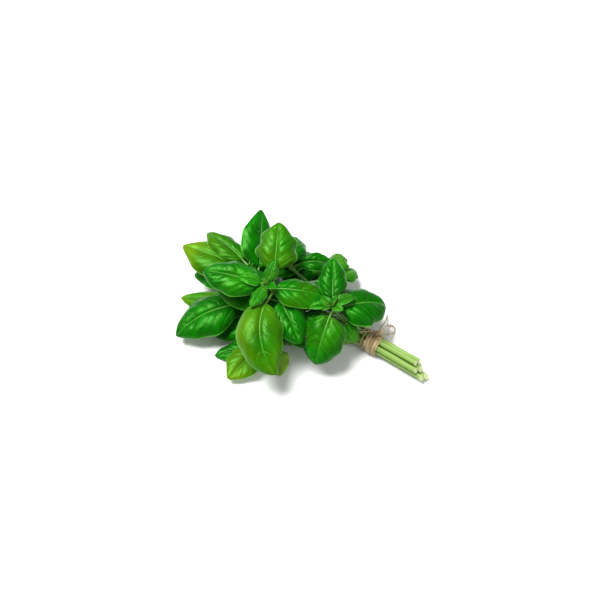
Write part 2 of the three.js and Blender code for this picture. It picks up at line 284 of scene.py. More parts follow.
# %% Leaf finishes
def leaf_finish(name, deep, bright, ripe_and_painted_light, vein, painted_margin_highlight, rough, glow, glow_share):
    """A face of a leaf. ripe_and_painted_light is the yellower green that its attribute of that name
    brings in. On a leaf that lies in shadow, a high share of it is painted light that brightens it.
    """
    make = Nodes(name)
    place = make.add("ShaderNodeTexCoord")
    skin = place.outputs["Object"]
    uv = make.add("ShaderNodeSeparateXYZ", {0: place.outputs["UV"]})
    across = make.math("ABSOLUTE", make.math("SUBTRACT", uv.outputs["Y"], 0.5))

    phase = make.value_of("vein")
    off_vein = make.math("PINGPONG", phase, 0.5)
    side_vein = make.spread(off_vein, 0.012, 0.05, 1.0, 0.0)
    inside = make.spread(across, 0.36, 0.48, 1.0, 0.0)
    side_vein = make.math("MULTIPLY", side_vein, inside)
    midrib = make.spread(across, 0.006, 0.018, 1.0, 0.0)
    tip_fade = make.spread(uv.outputs["X"], 0.75, 1.0, 1.0, 0.35)
    midrib = make.math("MULTIPLY", midrib, tip_fade)
    cells = make.add(
        "ShaderNodeTexVoronoi",
        {"Vector": skin, "Scale": 420.0, "Randomness": 0.9},
        feature="DISTANCE_TO_EDGE",
    ).outputs["Distance"]
    net = make.spread(cells, 0.0, 0.12, 1.0, 0.0)
    veins = make.math("MAXIMUM", make.math("MULTIPLY", side_vein, 0.5), midrib)
    veins = make.math("MAXIMUM", veins, make.math("MULTIPLY", net, 0.12))

    patches_and_painted_sheen = make.spread(make.noise(45.0, 4.0), 0.3, 0.7)
    # painted shade and sheen: the leaf is darker in the grooves by the side veins and lighter on the
    # puffs between them, as light falls on the quilting
    painted_groove_shade_and_sheen = make.spread(off_vein, 0.05, 0.4)
    patches_and_painted_sheen = make.math("MULTIPLY", patches_and_painted_sheen, 0.65)
    patches_and_painted_sheen = make.math("ADD", patches_and_painted_sheen, make.math("MULTIPLY", painted_groove_shade_and_sheen, 0.3))
    colour = make.mix(patches_and_painted_sheen, deep, bright)
    colour = make.mix(make.value_of("ripe_and_painted_light"), colour, ripe_and_painted_light)
    freckles = make.spread(make.noise(900.0, 2.0), 0.35, 0.65, 0.93, 1.05)
    grey = make.add("ShaderNodeCombineColor", {0: freckles, 1: freckles, 2: freckles})
    colour = make.mix(1.0, colour, grey.outputs[0], "MULTIPLY")
    colour = make.mix(make.math("MULTIPLY", veins, 0.75), colour, vein)
    # painted highlight: a pale line along each leaf margin stands in for light catching the rolled
    # edge
    colour = make.mix(make.spread(across, 0.472, 0.495, 0.0, 0.7), colour, painted_margin_highlight)

    quilt = make.math("SUBTRACT", 1.0, make.math("MAXIMUM", side_vein, midrib))
    normal = make.bump(quilt, 0.0002, 0.7)
    normal = make.bump(make.spread(cells, 0.0, 0.3), 0.00008, 0.7, normal)
    normal = make.bump(make.noise(1600.0, 2.0), 0.00003, 0.6, normal)
    gloss = make.spread(make.noise(120.0, 3.0), 0.3, 0.7, rough - 0.05, rough + 0.08)
    surface = make.add(
        "ShaderNodeBsdfPrincipled",
        {"Base Color": colour, "Roughness": gloss, "Normal": normal, "IOR": 1.45},
    )
    surface.inputs["Specular IOR Level"].default_value = 0.38
    surface.inputs["Specular Tint"].default_value = (0.3, 1, 0.16, 1)
    through = make.mix(0.35, colour, glow)
    light = make.add("ShaderNodeBsdfTranslucent", {"Color": through, "Normal": normal})
    shares = {0: glow_share, 1: surface.outputs[0], 2: light.outputs[0]}
    both = make.add("ShaderNodeMixShader", shares)
    return make.finish(both.outputs[0])


LEAF_TOP = leaf_finish(
    "basil leaf top",
    deep=(0.0002, 0.048, 0.0001),
    bright=(0.0015, 0.142, 0.0003),
    ripe_and_painted_light=(0.09, 0.175, 0.0005),
    vein=(0.03, 0.24, 0.007),
    painted_margin_highlight=(0.1, 0.42, 0.04),
    rough=0.3,
    glow=(0.02, 0.5, 0.001),
    glow_share=0.15,
)
LEAF_UNDER = leaf_finish(
    "basil leaf underside",
    deep=(0.06, 0.23, 0.03),
    bright=(0.11, 0.32, 0.06),
    # The underside's pale colour is partly its own yellower tone and partly painted light, raised to
    # brighten the shaded underside of leaf_near_3.
    ripe_and_painted_light=(0.42, 0.62, 0.1),
    vein=(0.25, 0.5, 0.12),
    painted_margin_highlight=(0.16, 0.5, 0.06),
    rough=0.55,
    glow=(0.12, 0.6, 0.005),
    glow_share=0.15,
)
YOUNG_TOP = leaf_finish(
    "young basil leaf top",
    deep=(0.001, 0.07, 0.0003),
    bright=(0.006, 0.18, 0.001),
    # This pale colour is partly young leaves' own yellower tone and partly painted light, raised to
    # brighten leaf_near_3, which lies in shadow.
    ripe_and_painted_light=(0.32, 0.55, 0.07),
    vein=(0.07, 0.32, 0.018),
    painted_margin_highlight=(0.24, 0.58, 0.14),
    rough=0.32,
    glow=(0.04, 0.55, 0.002),
    glow_share=0.18,
)
print("leaves have their finishes")


# %% Stem and twine finishes
def stem_finish(name, dark, light, far):
    """Skin of a stem or a leaf's stalk, which turns from light to far along it."""
    make = Nodes(name)
    place = make.add("ShaderNodeTexCoord")
    streaks = make.add("ShaderNodeMapping", {"Vector": place.outputs["UV"], "Scale": (3.0, 26.0, 1.0)})
    lines = make.noise(1.0, 4.0, streaks.outputs[0])
    tone = make.spread(lines, 0.3, 0.7)
    colour = make.mix(tone, dark, light)
    along = make.add("ShaderNodeSeparateXYZ", {0: place.outputs["UV"]}).outputs["X"]
    colour = make.mix(make.spread(along, 0.35, 0.85), colour, far)
    flecks = make.spread(make.noise(260.0, 4.0), 0.62, 0.75, 0.0, 0.35)
    colour = make.mix(flecks, colour, (0.42, 0.5, 0.2))
    normal = make.bump(lines, 0.0003, 0.7)
    normal = make.bump(make.noise(2500.0, 2.0), 0.00003, 0.7, normal)
    rough = make.spread(make.noise(300.0), 0.3, 0.7, 0.36, 0.52)
    surface = make.add(
        "ShaderNodeBsdfPrincipled",
        {"Base Color": colour, "Roughness": rough, "Normal": normal, "IOR": 1.42},
    )
    glow = make.add("ShaderNodeBsdfTranslucent", {"Color": (0.3, 0.5, 0.08, 1), "Normal": normal})
    both = make.add("ShaderNodeMixShader", {0: 0.1, 1: surface.outputs[0], 2: glow.outputs[0]})
    return make.finish(both.outputs[0])


def cut_finish():
    make = Nodes("basil stem cut end")
    speckle = make.spread(make.noise(1800.0, 3.0), 0.35, 0.65)
    colour = make.mix(speckle, (0.36, 0.47, 0.15), (0.6, 0.66, 0.34))
    normal = make.bump(speckle, 0.0001, 0.7)
    surface = make.add(
        "ShaderNodeBsdfPrincipled",
        {"Base Color": colour, "Roughness": 0.42, "Normal": normal},
    )
    return make.finish(surface.outputs[0])


def jute_finish():
    make = Nodes("jute twine")
    place = make.add("ShaderNodeTexCoord")
    fibres = make.add("ShaderNodeMapping", {"Vector": place.outputs["UV"], "Scale": (60.0, 14.0, 1.0)})
    strands = make.noise(1.0, 5.0, fibres.outputs[0])
    tone = make.spread(strands, 0.3, 0.7)
    colour = make.mix(tone, (0.16, 0.1, 0.03), (0.55, 0.41, 0.19))
    pale = make.spread(make.noise(140.0, 3.0), 0.4, 0.7, 0.0, 0.6)
    colour = make.mix(pale, colour, (0.68, 0.54, 0.31))
    normal = make.bump(strands, 0.00025, 1.0)
    surface = make.add(
        "ShaderNodeBsdfPrincipled",
        {"Base Color": colour, "Roughness": 0.85, "Normal": normal},
    )
    surface.inputs["Sheen Weight"].default_value = 0.3
    surface.inputs["Sheen Roughness"].default_value = 0.5
    return make.finish(surface.outputs[0])


STEM_SKIN = stem_finish("basil stem", (0.1, 0.22, 0.018), (0.27, 0.41, 0.095), (0.05, 0.2, 0.01))
STALK_SKIN = stem_finish("leaf stalk", (0.04, 0.2, 0.008), (0.12, 0.32, 0.03), (0.05, 0.22, 0.01))
STEM_CUT, JUTE = cut_finish(), jute_finish()
print("stem, cut end and twine have their finish")

# %% [markdown]
# ## Twine
#
# Thin jute twine is two plies twisted round each other. A round section would look like wire, so
# the section here is pinched between the plies, and it turns as it goes along. The loose twine
# starts at the knot: a loop and a tail fall over the far side onto the surface, and another loop
# lies over the stems. Their routes are the ones that the CAD tubes follow.

# %% Twine helpers
TWINE_DIAMETER = 1.2 * MM
TWIST_PITCH = 3.4 * MM


def line_length(points):
    return float(np.linalg.norm(np.diff(points, axis=0), axis=1).sum())


def even_points(points, step):
    """Points a step apart on the smooth curve through the given ones."""
    points = np.asarray(points, float)
    gaps = np.linalg.norm(np.diff(points, axis=0), axis=1)
    knots = np.concatenate([[0], np.cumsum(np.sqrt(gaps))])
    fine = smooth_between(knots / knots[-1], points, np.linspace(0, 1, 40 * len(points)))
    travelled = np.concatenate([[0], np.cumsum(np.linalg.norm(np.diff(fine, axis=0), axis=1))])
    places = np.linspace(0, travelled[-1], max(4, round(travelled[-1] / step)))
    return np.stack([np.interp(places, travelled, fine[:, axis]) for axis in range(3)], axis=1)


def twine(name, points, sides=10):
    """A length of two-ply twine along points that lie close together."""
    length = line_length(points)
    radius = TWINE_DIAMETER / 2
    out, side = frames_along(points)

    def plies(u, turn):
        ply_turn = turn - 2 * math.pi * u * length / TWIST_PITCH
        return 0.66 + 0.34 * np.abs(np.cos(ply_turn)) ** 0.7

    rings = max(12, round(length / (TWIST_PITCH / 9)))
    strand = roll(name, points, out * radius, side * radius, rings, sides, plies)
    strand.data.materials.append(JUTE)
    return strand


def from_tie(points):
    """Route points in millimetres from the middle of the tie, as points in the frame."""
    return np.array([list(TIE + Vector(p) * MM) for p in points])


# %% Loose twine
SURFACE = -9.7 + 0.6 * 1.2
ROUTES = {
    "twine_loop_right": [
        (3, 6.4, 12.9), (2.8, 11, 11.6), (1.2, 16.5, 5.5), (-0.6, 22, -2), (-1.9, 26.4, -7.4),
        (-0.2, 29, SURFACE), (3.2, 28.8, SURFACE), (5.4, 25.4, -8.8), (5.9, 20.5, -6.5),
        (5.7, 15.6, -1.2), (5.3, 12.4, 4.4), (4.9, 9.4, 8.8), (4.1, 6.9, 10.9),
    ],
    "twine_loop_left": [
        (-1.9, 2.4, 12.6), (-6.4, 1, 11.2), (-11, -1.6, 10.1), (-15.2, -5.2, 8),
        (-16.2, -8.7, 5.2), (-13.4, -9.5, 2), (-7.5, -9.2, 0.2),
    ],
    "twine_tail": [
        (0.9, 7, 13.1), (0, 11, 12.3), (-1.2, 16, 8), (-3.9, 24.1, 0), (-6.8, 31.4, -6.5),
        (-8.6, 36, SURFACE),
    ],
}
for node, route in ROUTES.items():
    line = even_points(from_tie(route), 1.0 * MM)
    strand = twine(f"jute_{node}", line)
    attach(strand, "root")
    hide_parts(node)
    length = line_length(line)
    print(f"{node}: {length * 1000:.1f} mm of twine")

# %% [markdown]
# ## The wrap and the knot
#
# The twine goes round the stems many times, and then crosses over its own turns. It is pulled
# tight, so each turn is straight between two stems and bends over each one, which is why its
# radius changes on the way round. The knot is one strand that winds through itself.

# %% Wrap
STEM_ANGLES = [math.radians(30 + 60 * i) for i in range(6)]
STEM_PITCH = 5.2 * MM
TIED_STEM_RADIUS = 2.25 * MM


def taut_radius(angle):
    """How far a taut line runs from the middle of the six stems, in each direction."""
    half = math.radians(30)
    off = (angle - half) % (2 * half) - half
    off = half - abs(off)
    corner = STEM_PITCH * math.cos(off) + TIED_STEM_RADIUS
    flat = (STEM_PITCH * math.cos(half) + TIED_STEM_RADIUS) / math.cos(half - off)
    return min(corner, flat)


def wound(turns, start_x, end_x, layer, sway=0.0, start_turn=0.2, seed=1):
    """Turns of twine round the stems, from one x to another, in a layer over the stems."""
    dice = random.Random(seed)
    shake = [dice.uniform(-0.12, 0.12) for _ in range(int(turns * 3) + 4)]
    points = []
    for i in range(int(turns * 40) + 1):
        turn = i / 40
        share = turn / turns
        angle = 2 * math.pi * (start_turn + turn)
        x = start_x + (end_x - start_x) * share + sway * math.sin(2 * math.pi * turn * 0.83)
        x += float(np.interp(turn * 3, range(len(shake)), shake))
        radius = taut_radius(angle) / MM + 0.62 + layer * 1.02
        points.append((x, radius * math.cos(angle), radius * math.sin(angle)))
    return even_points(from_tie(points), 0.45 * MM)


wraps = [
    twine("jute_wrap", wound(9, 5.4, -5.2, 0, seed=2)),
    twine("jute_wrap_over", wound(3.4, -5.0, 4.6, 0.95, sway=1.1, start_turn=0.35, seed=5)),
    twine("jute_wrap_back", wound(2.6, 4.2, -4.4, 1.25, sway=-1.8, start_turn=0.6, seed=8)),
    twine("jute_wrap_loose", wound(2.2, -5.5, -11.5, 0.4, sway=0.6, start_turn=0.1, seed=9)),
]
wrap = join_into(*wraps)
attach(wrap, "root")
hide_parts("twine_wrap")
print(f"the wrap has {len(wrap.data.polygons)} faces")

# %% Knot
KNOT_LOW, KNOT_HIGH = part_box("twine_knot")
knot_middle = np.array((KNOT_LOW + KNOT_HIGH) / 2)
knot_half = np.array((KNOT_HIGH - KNOT_LOW) / 2) - TWINE_DIAMETER / 2
winding = []
for i in range(120):
    angle = 2 * math.pi * i / 119
    wind = (
        (math.sin(angle) + 2 * math.sin(2 * angle)) / 3,
        (math.cos(angle) - 2 * math.cos(2 * angle)) / 3,
        -math.sin(3 * angle),
    )
    winding.append(knot_middle + knot_half * 1.08 * np.array(wind))
strands = [twine("jute_knot", even_points(winding, 0.4 * MM))]
for node, route in ROUTES.items():
    ends = [0, -1] if node == "twine_loop_right" else [0]
    for end in ends:
        start = from_tie([route[end]])[0]
        bend = knot_middle * 0.4 + start * 0.6 + np.array([0, 0, 0.5 * MM])
        strands.append(twine("jute_lead", even_points([knot_middle, bend, start], 0.4 * MM)))
knot = join_into(*strands)
knot.name = knot.data.name = "jute_knot"
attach(knot, "root")
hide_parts("twine_knot")
print("the knot is tied")

# %% [markdown]
# ## Reading a CAD solid
#
# Every CAD leaf and stem is a row of rings that closes on one middle point at each end. Walking
# out from the point at its foot, one edge at a time, meets the rings in order. That gives the
# line, width and bend of the real thing exactly where the frame has it.


# %% Rings of a solid
def by_place(vertices):
    """Vertices in an order that is the same on every run, which a set of them is not."""
    return sorted(vertices, key=lambda vertex: vertex.co.to_tuple(6))


def rings_of(node, sides):
    """The solid's rings of points in order, and the middle point of each of its two ends."""
    mesh = bmesh.new()
    mesh.from_mesh(frame["nodes"][node].data)
    bmesh.ops.remove_doubles(mesh, verts=mesh.verts, dist=1e-6)
    ends = by_place(v for v in mesh.verts if len(v.link_edges) == sides)
    walks = []
    for end in ends:
        seen, level, walk = {end}, [end], []
        while True:
            level = by_place({e.other_vert(v) for v in level for e in v.link_edges} - seen)
            if len(level) < sides:
                break
            seen.update(level)
            ordered = [level[0]]
            members = set(level)
            while len(ordered) < len(level):
                near = [e.other_vert(ordered[-1]) for e in ordered[-1].link_edges]
                near = [v for v in near if v in members and v not in ordered]
                ordered.append(by_place(near)[0])
            walk.append(np.array([list(v.co) for v in ordered]))
        walks.append((np.array(list(end.co)), walk))
    mesh.free()
    return walks


# %% [markdown]
# ## Stems
#
# A basil stem is softly four-sided, with a groove down each side, and it swells where a pair of
# leaves grows. Its cut end is slanted, pale and a little hollow. The CAD stem's sections give the
# line, and the rolled grid adds the ridges and the swellings.

# %% Stems
STEM_NODES = sorted(n for n in frame["nodes"] if n.startswith("stem_"))
LEAF_NODES = sorted(n for n in frame["nodes"] if n.startswith("leaf_"))
leaf_rings = {}
for node in LEAF_NODES:
    walks = rings_of(node, 9)
    leaf_rings[node] = min(walks, key=lambda walk: np.ptp(walk[1][0], axis=0).max())
feet = np.array([leaf_rings[node][1][0].mean(0) for node in LEAF_NODES])

stem_lines = {}
for node in STEM_NODES:
    walks = rings_of(node, 8)
    end, rings = max(walks, key=lambda walk: walk[0][0])
    aligned = [rings[0]]
    for ring in rings[1:]:
        last = aligned[-1] - aligned[-1].mean(0)
        now = ring - ring.mean(0)
        start = int(np.argmin(np.linalg.norm(now - last[0], axis=1)))
        ahead, behind = (np.roll(now, -start, axis=0), np.roll(now[::-1], start + 1, axis=0))
        turned = min((ahead, behind), key=lambda points: np.linalg.norm(points - last))
        aligned.append(turned + ring.mean(0))
    centres = np.array([ring.mean(0) for ring in aligned])
    out = np.array([ring[0] - ring.mean(0) for ring in aligned])
    side = np.array([ring[2] - ring.mean(0) for ring in aligned])
    fine = smooth_between(np.linspace(0, 1, len(centres)), centres, np.linspace(0, 1, 200))
    joints = []
    for foot in feet:
        gaps = np.linalg.norm(fine - foot, axis=1)
        if gaps.min() < 5.5 * MM:
            joints.append(int(np.argmin(gaps)) / 199)
    spacing = line_length(fine)

    def ridged(u, turn):
        size = 0.965 + 0.045 * np.cos(4 * turn) - 0.012 * np.cos(8 * turn)
        for joint in joints:
            size = size + 0.16 * np.exp(-(((u - joint) * spacing / (1.6 * MM)) ** 2))
        return np.minimum(size, 1.22)

    stem = roll(f"basil_{node}", centres, out, side, 120, 24, ridged)
    stem.data.materials.append(STEM_SKIN)
    stem.data.materials.append(STEM_CUT)
    for face in stem.data.polygons:
        if len(face.vertices) > 4 and face.center.x > TIE.x:
            face.material_index = 1
            face.use_smooth = False
    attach(stem, "root")
    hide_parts(node)
    stem_lines[node] = fine
    print(f"{node}: {spacing * 1000:.0f} mm long, {len(joints)} leaves grow from it")

# %% [markdown]
# ## Leaves
#
# A blade is a sheet that is pinched to a point at both ends. The grid is laid over the CAD
# blade's upper face, and then pushed in along the midrib and the side veins and out between them,
# which gives basil its quilted look. A Solidify modifier gives the sheet its thickness and its
# underside. The stalk is a rolled grid that runs on below the blade as its midrib.

# %% Leaf shape
WIDEST_AT = 0.4
POINTED = 1.1
LEAF_THICKNESS = 0.4 * MM
VEIN_PITCH = 0.19
VEIN_SWEEP, VEIN_CURL = 0.26, 0.14


def outline(t):
    """Half of a blade's width as a share of the widest, from its foot at 0 to its point at 1."""
    up = (t / WIDEST_AT) ** WIDEST_AT
    down = ((1 - t) / (1 - WIDEST_AT)) ** (1 - WIDEST_AT)
    return (up * down) ** POINTED


def read_leaf(node):
    """A leaf's stalk, its midrib, and the two halves of its section at each ring, from the foot."""
    foot_end, rings = leaf_rings[node]
    stalk = np.array([rings[0].mean(0), rings[1].mean(0)])
    stalk_radius = np.linalg.norm(rings[0] - stalk[0], axis=1).mean()
    foot = stalk[0] + (stalk[1] - stalk[0]) / 0.6
    blade = [ring for ring in rings[2:] if len(ring) == 9]
    walks = rings_of(node, 9)
    tip = max((walk[0] for walk in walks), key=lambda end: np.linalg.norm(end - foot_end))
    middles, lefts, rights = [], [], []
    last_left = None
    for ring in blade:
        gaps = np.linalg.norm(ring[:, None] - ring[None], axis=2)
        a, b = np.unravel_index(np.argmax(gaps), gaps.shape)
        if last_left is not None:
            shift = ring.mean(0) - last_middle
            moved = last_left + shift
            if np.linalg.norm(ring[b] - moved) < np.linalg.norm(ring[a] - moved):
                a, b = b, a
        if (b - a) % 9 == 4:
            upper = [ring[(a + i) % 9] for i in range(5)]
        else:
            upper = [ring[(a - i) % 9] for i in range(5)]
        last_left, last_middle = ring[a], ring.mean(0)
        middles.append(upper[2])
        lefts.append((upper[1] - upper[2], upper[0] - upper[2]))
        rights.append((upper[3] - upper[2], upper[4] - upper[2]))
    return stalk, stalk_radius, foot, tip, np.array(middles), np.array(lefts), np.array(rights)


def lay_blade(foot, tip, middles, lefts, rights, t, v):
    """The points of the upper face at t along and v across, from -1 to 1."""
    line = np.concatenate([[foot], middles, [tip]])
    steps = np.linalg.norm(np.diff(line, axis=0), axis=1)
    knots = np.concatenate([[0], np.cumsum(steps)]) / steps.sum()
    inner = knots[1:-1]
    width = outline(inner)[:, None]
    centre = smooth_between(knots, line, t)
    size = np.abs(v)[:, None]
    halves = []
    for half in (lefts, rights):
        near = smooth_between(inner, half[:, 0] / width, t)
        far = smooth_between(inner, half[:, 1] / width, t)
        halves.append(size * (4 * near - far) + size**2 * (2 * far - 4 * near))
    offset = np.where((v < 0)[:, None], halves[0], halves[1])
    return centre + offset * outline(t)[:, None]


def face_directions(points, rows, columns):
    """The direction square to a laid grid at each of its points, which run row by row."""
    shaped = points.reshape(rows, columns, 3)
    down, over = np.gradient(shaped, axis=0), np.gradient(shaped, axis=1)
    square = np.cross(down, over).reshape(-1, 3)
    return square / np.maximum(np.linalg.norm(square, axis=1), 1e-12)[:, None]


# %% Leaf relief
def veins_of(t, v, dice):
    """A number that grows by one from each side vein to the next, different on the two sides."""
    size = np.abs(v)
    start = t - (VEIN_SWEEP * size + VEIN_CURL * size**2)
    apart = np.clip(size / 0.3, 0, 1)
    stagger = dice.uniform(0.1, 0.4) * apart**2 * (3 - 2 * apart)
    uneven = 0.13 * np.sin(2 * math.pi * (2.3 * start + dice.uniform(0, 1)))
    return start / VEIN_PITCH + uneven + np.where(v < 0, stagger, 0) + dice.uniform(0, 1)


def relief_of(t, v, phase, length, points, wave, puffed, dice):
    """How far the upper face stands out at each point, in metres."""
    grown = min(1.0, length / (50 * MM))
    size = np.abs(v)
    off_vein = np.abs((phase + 0.5) % 1 - 0.5)
    puff = np.sin(np.pi * off_vein)
    shoulder = np.clip(size / 0.18, 0, 1) * np.clip((1 - size) / 0.3, 0, 1) ** 0.7
    ends = np.clip(t / 0.12, 0, 1) * np.clip((1 - t) / 0.3, 0, 1)
    full = 0.7 + 0.5 * np.array([noise.noise(Vector(p) * 60) for p in points])
    quilt = (puff - 0.6) * shoulder * ends * full * 0.75 * puffed * MM
    groove = -0.95 * MM * np.exp(-((size * outline(t) / 0.07) ** 2)) * np.clip((1 - t) / 0.6, 0, 1)
    start = dice.uniform(0, 2 * math.pi)
    margin = wave * MM * size**4 * np.sin(2 * math.pi * t * 2.6 + start + (v > 0) * 1.9) * ends
    rumple = np.array([noise.noise(Vector(p) * 75) for p in points]) * 1.1 * puffed * MM * ends
    pucker = np.array([noise.noise(Vector(p) * 420) for p in points]) * 0.09 * MM * ends
    return (quilt + groove + margin + rumple + pucker) * grown


# %% Leaf maker
def make_leaf(
    name, leaf, ripe_and_painted_light, seed, top=LEAF_TOP, rows=84, columns=44, wave=0.7, puffed=1.0, sunk=0.0
):
    """One leaf. leaf is what read_leaf gives, and ripe_and_painted_light how yellow it is, along
    and across. On a leaf that lies in shadow it also sets how much painted light brightens it.
    """
    stalk, stalk_radius, foot, tip, middles, lefts, rights = leaf
    dice = random.Random(seed)
    blade, u, w = new_grid(name, rows, columns)
    order = np.lexsort((w.round(6), u.round(6)))
    t = np.clip(0.5 - 0.5 * np.cos(np.pi * u), 1e-5, 1 - 1e-4)
    v = 2 * w - 1
    length = line_length(np.concatenate([[foot], middles, [tip]]))
    points = lay_blade(foot, tip, middles, lefts, rights, t, v)
    across_count = len(np.unique(w.round(6)))
    outward = np.empty_like(points)
    outward[order] = face_directions(points[order], len(points) // across_count, across_count)
    phase = veins_of(t, v, dice)
    lift = relief_of(t, v, phase, length, points, wave, puffed, dice)
    section_up = (lefts[:, 0] + rights[:, 0] - 0.5 * (lefts[:, 1] + rights[:, 1])).sum(0)
    outward *= np.sign(outward.sum(0) @ section_up)
    points += outward * (lift - sunk * MM)[:, None]
    points[:, 2] = np.maximum(points[:, 2], LEAF_THICKNESS)
    set_points(blade, points)
    keep_values(blade, "vein", phase)
    patch = np.array([noise.noise(Vector(p) * 45 + Vector((seed, 0, 0))) for p in points])
    keep_values(blade, "ripe_and_painted_light", np.clip(ripe_and_painted_light(t, v) * (1 + 0.9 * patch) + 0.12 * patch, 0, 1))
    for corner in blade.data.uv_layers[0].data:
        corner.uv.x = 0.5 - 0.5 * math.cos(math.pi * corner.uv.x)
    facing = sum((face.normal * face.area for face in blade.data.polygons), Vector())
    if facing @ Vector(section_up) < 0:
        blade.data.flip_normals()
    blade.data.materials.append(top)
    blade.data.materials.append(LEAF_UNDER)
    blade.data.materials.append(STALK_SKIN)
    grown = min(1.0, length / (50 * MM))
    thicken = blade.modifiers.new("thickness", "SOLIDIFY")
    thicken.thickness = LEAF_THICKNESS * max(0.7, grown)
    thicken.offset = -1
    thicken.material_offset = 1
    thicken.material_offset_rim = 1
    bpy.ops.object.modifier_apply(modifier=thicken.name)
    bpy.ops.object.shade_smooth_by_angle(angle=math.radians(50))

    below = np.linspace(0.02, 0.88, 12)
    middle_line = lay_blade(foot, tip, middles, lefts, rights, below, np.zeros_like(below))
    knots = np.linspace(0, 1, len(middles))
    section = (lefts[:, 0] + rights[:, 0]) - 0.5 * (lefts[:, 1] + rights[:, 1])
    tangent = np.gradient(middles, axis=0)
    section -= tangent * ((section * tangent).sum(1) / (tangent * tangent).sum(1))[:, None]
    section /= np.linalg.norm(section, axis=1)[:, None]
    depth = (LEAF_THICKNESS + 0.55 * MM * grown) * (1 - 0.55 * below)
    middle_line -= smooth_between(knots, section, below) * depth[:, None]
    start = stalk[0] + (stalk[0] - stalk[1]) / np.linalg.norm(stalk[0] - stalk[1]) * 1.5 * MM
    line = np.concatenate([[start, stalk[0], stalk[1]], middle_line])
    radii = np.concatenate([
        [stalk_radius * 1.1, stalk_radius * 0.98, stalk_radius * 0.82],
        stalk_radius * (0.7 - 0.58 * below / 0.88),
    ])
    out, side = frames_along(line)
    rib = roll(name + "_rib", line, out * radii[:, None], side * radii[:, None], 40, 10)
    rib.data.materials.append(STALK_SKIN)
    join_into(blade, rib)
    return blade


def even_tone(share):
    return lambda t, v: share + 0 * t


def tipped(base, tip):
    """Yellower towards the point."""
    return lambda t, v: base + (tip - base) * np.clip((t - 0.35) / 0.5, 0, 1) ** 1.3


# %% Full-grown and young leaves
RIPENESS_AND_PAINTED_LIGHT = {
    "leaf_crown_1": lambda t, v: 0.38 + 0.12 * (v < 0) - 0.12 * t,
    "leaf_far_left_1": tipped(0.15, 1.0),
    "leaf_near_left_2": tipped(0.1, 1.0),
    "leaf_near_1": tipped(0.25, 0.6),
    # leaf_near_3 lies in shadow under leaf_crown_1. Its near-full pale share is partly its own young
    # tone and partly painted light that brightens it as if lit.
    "leaf_near_3": even_tone(0.95),
    "leaf_crown_2": even_tone(0.2),
    "leaf_crown_3": tipped(0.15, -0.05),
    "leaf_crown_4": tipped(0.05, -0.1),
    "leaf_short_2": tipped(0.15, -0.05),
    "leaf_short_3": tipped(0.0, -0.1),
    "leaf_crown_12": even_tone(-0.15),
    "leaf_far_left_2": even_tone(0.16),
    "leaf_near_left_1": tipped(-0.1, 0.0),
    "leaf_far_left_3": even_tone(-0.1),
    "leaf_right_1": even_tone(0.1),
    "leaf_right_2": even_tone(0.1),
}
WAVE, CLOSE_WAVE = 0.7, 0.1
WAVY = {
    "leaf_near_3": 2.6,
    "leaf_right_1": 1.8,
    "leaf_right_2": 1.8,
    "leaf_short_4": 1.2,
    "leaf_crown_2": 1.5,
    "leaf_short_3": 1.2,
    "leaf_far_left_2": 1.3,
}
PUFFED = {
    "leaf_crown_1": 0.5,
    "leaf_far_left_1": 0.5,
    "leaf_far_left_2": 0.6,
    "leaf_far_left_3": 0.6,
    "leaf_short_3": 0.7,
    "leaf_near_1": 0.7,
    "leaf_near_left_1": 0.8,
}
# These lie against a neighbour, so they are kept flat and sunk, in mm, into their own solids.
CLOSE_PUFF, CLOSE_SUNK = 0.1, 0.35
CLOSE_LEAVES = {
    "leaf_crown_8", "leaf_crown_9", "leaf_crown_13", "leaf_short_9", "leaf_back_3", "leaf_back_4",
    "leaf_right_3", "leaf_far_left_6", "leaf_far_left_7", "leaf_near_left_2", "leaf_near_left_3",
}
for index, node in enumerate(LEAF_NODES):
    dice = random.Random(100 + index)
    young = SLOT_OF[node] == "young_leaf"
    tone = RIPENESS_AND_PAINTED_LIGHT.get(node, even_tone(dice.uniform(0, 0.1) if young else dice.uniform(-0.2, 0.12)))
    # leaf_near_3 takes the paler young finish as painted light, to look lit where it lies in shadow.
    top = YOUNG_TOP if young or node == "leaf_near_3" else LEAF_TOP
    rows, columns = (44, 28) if young else (84, 44)
    wave, puffed, sunk = WAVY.get(node, WAVE), PUFFED.get(node, 1.0), 0.0
    if node in CLOSE_LEAVES:
        wave, puffed, sunk = CLOSE_WAVE, CLOSE_PUFF, CLOSE_SUNK
    leaf = read_leaf(node)
    piece = make_leaf(
        f"basil_{node}", leaf, tone, 200 + index, top, rows, columns, wave, puffed, sunk
    )
    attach(piece, "root")
    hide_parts(node)
print(f"{len(LEAF_NODES)} leaves are laid over their solids")

# %% [markdown]
# ## Growing tips
#
# Each sprig ends in a tight rosette of its smallest leaves, in pairs that stand square to each
# other and close up towards the middle. They are too small to matter to the frame, so they have
# no solids of their own, and each is bent from the same kind of rows of points as the others.


